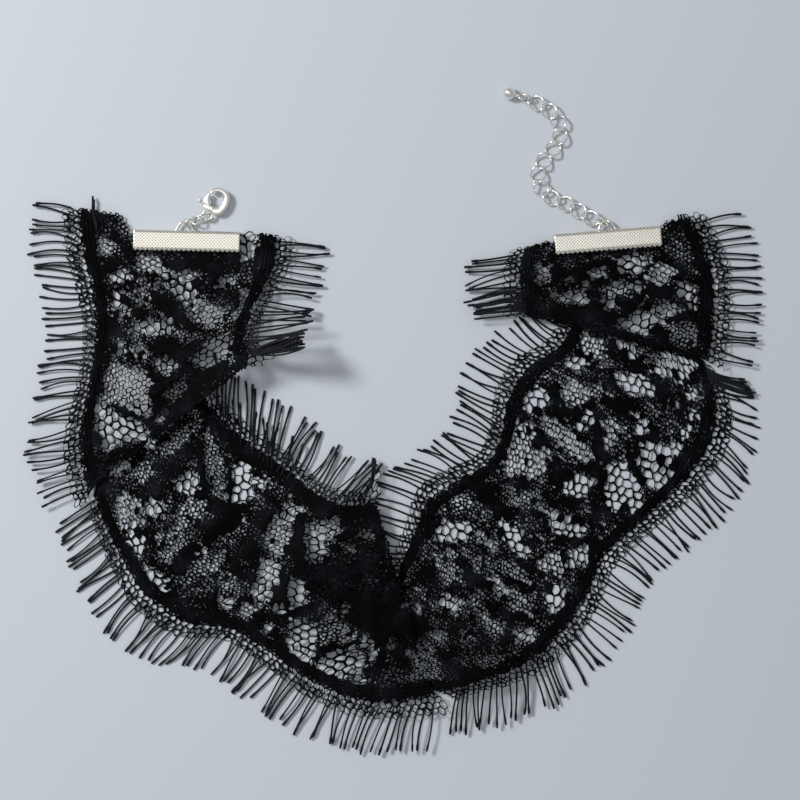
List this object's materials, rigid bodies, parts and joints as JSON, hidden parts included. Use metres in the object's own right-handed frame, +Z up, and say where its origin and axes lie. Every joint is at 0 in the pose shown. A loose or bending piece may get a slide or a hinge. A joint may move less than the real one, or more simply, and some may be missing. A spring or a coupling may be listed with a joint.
{
  "type": "lace choker",
  "caption": "Black fringed lace choker laid flat in a U folded at three pleats, with ribbon crimps, a lobster clasp and an extension chain with a ball end.",
  "frame": {"origin": "middle of the bounding box, on the surface the choker lies on", "axes": "+X to the right of the picture, +Y to the top of the picture where the clasp and chain are, +Z up off the surface"},
  "size_m": [0.1876, 0.1694, 0.016],
  "materials": {
    "lace": "matte blue-black net lace",
    "thread": "matte blue-black loose threads",
    "plated_metal": "bright nickel-silver plating"
  },
  "bodies": {
    "choker": {"lace_left": "lace", "lace_middle": "lace", "lace_right": "lace", "lace_right_end": "lace", "pleat_bottom": "lace", "pleat_left": "lace", "pleat_right": "lace", "fringe_inner_left": "thread", "fringe_inner_middle": "thread", "fringe_inner_right": "thread", "fringe_inner_right_end": "thread", "fringe_outer_left": "thread", "fringe_outer_middle": "thread", "fringe_outer_right": "thread", "fringe_outer_right_end": "thread", "crimp_left": "plated_metal", "crimp_right": "plated_metal"},
    "ring_right": {"ring_right": "plated_metal"},
    "link_01": {"link_01": "plated_metal"},
    "link_02": {"link_02": "plated_metal"},
    "link_03": {"link_03": "plated_metal"},
    "link_04": {"link_04": "plated_metal"},
    "link_05": {"link_05": "plated_metal"},
    "link_06": {"link_06": "plated_metal"},
    "link_07": {"link_07": "plated_metal"},
    "link_08": {"link_08": "plated_metal"},
    "link_09": {"link_09": "plated_metal"},
    "link_10": {"link_10": "plated_metal"},
    "link_11": {"link_11": "plated_metal"},
    "link_12": {"link_12": "plated_metal"},
    "end_ring": {"end_ring": "plated_metal"},
    "end_drop": {"end_drop": "plated_metal"},
    "ring_a": {"ring_a": "plated_metal"},
    "ring_b": {"ring_b": "plated_metal"},
    "ring_c": {"ring_c": "plated_metal"},
    "clasp_body": {"clasp_body": "plated_metal"},
    "clasp_lever": {"clasp_lever": "plated_metal"}
  },
  "joints": [
    {"name": "ring_right_swing", "type": "hinge", "parent": "choker", "child": "ring_right", "pos_m": [0.05418, 0.04996, 0.00168], "axis": [0, 0, 1], "range_deg": [-70, 10]},
    {"name": "link_01_swing", "type": "hinge", "parent": "ring_right", "child": "link_01", "pos_m": [0.0521, 0.05093, 0.0013], "axis": [0, 0, -1], "range_deg": [-30, 60]},
    {"name": "link_02_swing", "type": "hinge", "parent": "link_01", "child": "link_02", "pos_m": [0.04857, 0.05236, 0.0012], "axis": [0, 0, 1], "range_deg": [-40, 40]},
    {"name": "link_03_swing", "type": "hinge", "parent": "link_02", "child": "link_03", "pos_m": [0.04566, 0.0548, 0.0011], "axis": [0, 0, -1], "range_deg": [-35, 80]},
    {"name": "link_04_swing", "type": "hinge", "parent": "link_03", "child": "link_04", "pos_m": [0.04203, 0.05591, 0.00105], "axis": [0, 0, 1], "range_deg": [-45, 70]},
    {"name": "link_05_swing", "type": "hinge", "parent": "link_04", "child": "link_05", "pos_m": [0.0387, 0.05775, 0.00105], "axis": [0, 0, -1], "range_deg": [-88, 28]},
    {"name": "link_06_swing", "type": "hinge", "parent": "link_05", "child": "link_06", "pos_m": [0.03675, 0.06101, 0.00105], "axis": [0, 0, 1], "range_deg": [-20, 95]},
    {"name": "link_07_swing", "type": "hinge", "parent": "link_06", "child": "link_07", "pos_m": [0.03728, 0.06477, 0.00105], "axis": [0, 0, -1], "range_deg": [-88, 28]},
    {"name": "link_08_swing", "type": "hinge", "parent": "link_07", "child": "link_08", "pos_m": [0.03961, 0.06777, 0.00105], "axis": [0, 0, 1], "range_deg": [-55, 60]},
    {"name": "link_09_swing", "type": "hinge", "parent": "link_08", "child": "link_09", "pos_m": [0.04206, 0.07068, 0.00105], "axis": [0, 0, -1], "range_deg": [-33, 82]},
    {"name": "link_10_swing", "type": "hinge", "parent": "link_09", "child": "link_10", "pos_m": [0.04304, 0.07435, 0.00105], "axis": [0, 0, 1], "range_deg": [-98, 16]},
    {"name": "link_11_swing", "type": "hinge", "parent": "link_10", "child": "link_11", "pos_m": [0.04132, 0.07773, 0.0011], "axis": [0, 0, -1], "range_deg": [-32, 84]},
    {"name": "link_12_swing", "type": "hinge", "parent": "link_11", "child": "link_12", "pos_m": [0.03828, 0.08002, 0.0012], "axis": [0, 0, 1], "range_deg": [-70, 46]},
    {"name": "end_ring_swing", "type": "hinge", "parent": "link_12", "child": "end_ring", "pos_m": [0.03484, 0.08163, 0.00135], "axis": [0, 0, -1], "range_deg": [-52, 64]},
    {"name": "end_drop_swing", "type": "hinge", "parent": "end_ring", "child": "end_drop", "pos_m": [0.03323, 0.08218, 0.00152], "axis": [0, 0, 1], "range_deg": [-60, 50]},
    {"name": "ring_a_swing", "type": "hinge", "parent": "choker", "child": "ring_a", "pos_m": [-0.05202, 0.04996, 0.00152], "axis": [0, 0, -1], "range_deg": [-60, 20]},
    {"name": "ring_b_swing", "type": "hinge", "parent": "ring_a", "child": "ring_b", "pos_m": [-0.05041, 0.05097, 0.00152], "axis": [0, 0, 1], "range_deg": [-30, 78]},
    {"name": "ring_c_swing", "type": "hinge", "parent": "ring_b", "child": "ring_c", "pos_m": [-0.04855, 0.05136, 0.00152], "axis": [0, 0, -1], "range_deg": [-48, 45]},
    {"name": "clasp_body_swing", "type": "hinge", "parent": "ring_c", "child": "clasp_body", "pos_m": [-0.04679, 0.05207, 0.00152], "axis": [0, 0, 1], "range_deg": [-65, 12]},
    {"name": "lever_press", "type": "hinge", "parent": "clasp_body", "child": "clasp_lever", "pos_m": [-0.04709, 0.05479, 0.00152], "axis": [0, 0, -1], "range_deg": [0, 22], "stiffness_Nm_per_rad": 0.0002}
  ]
}
